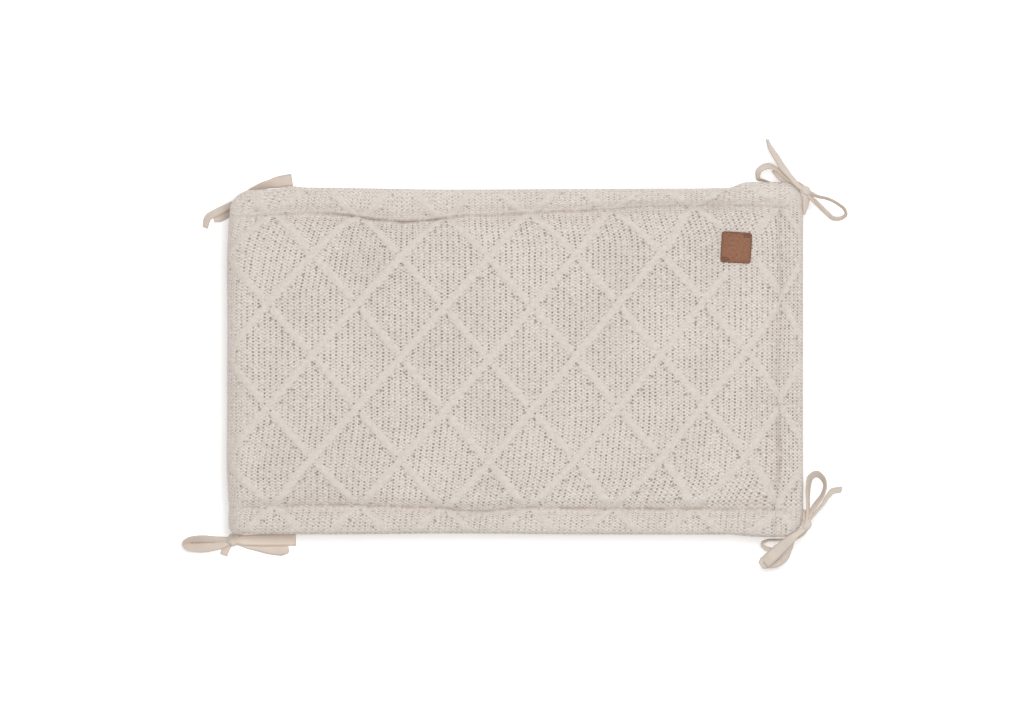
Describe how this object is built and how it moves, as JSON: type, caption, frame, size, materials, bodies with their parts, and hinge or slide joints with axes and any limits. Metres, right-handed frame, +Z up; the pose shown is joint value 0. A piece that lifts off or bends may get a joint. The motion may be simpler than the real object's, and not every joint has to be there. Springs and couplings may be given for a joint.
{
  "type": "playpen bumper",
  "caption": "Long padded knitted strip with a diamond cable pattern and tape ties, folded in three and lying flat.",
  "frame": {"origin": "centre of the underside of the folded strip, on the surface it lies on", "axes": "+X along the folded length towards the free end of the top layer, +Y across the strip, +Z up through the layers"},
  "size_m": [0.6759, 0.4363, 0.0588],
  "materials": {
    "knit": "matt chunky knit",
    "tape": "matt woven cotton tape",
    "patch": "matt"
  },
  "bodies": {
    "root": {"bumper_pad": "knit", "tie_top_right": "tape", "tie_bottom_right": "tape", "tie_bottom_left": "tape", "tie_top_left": "tape", "leather_patch": "patch"}
  },
  "joints": []
}
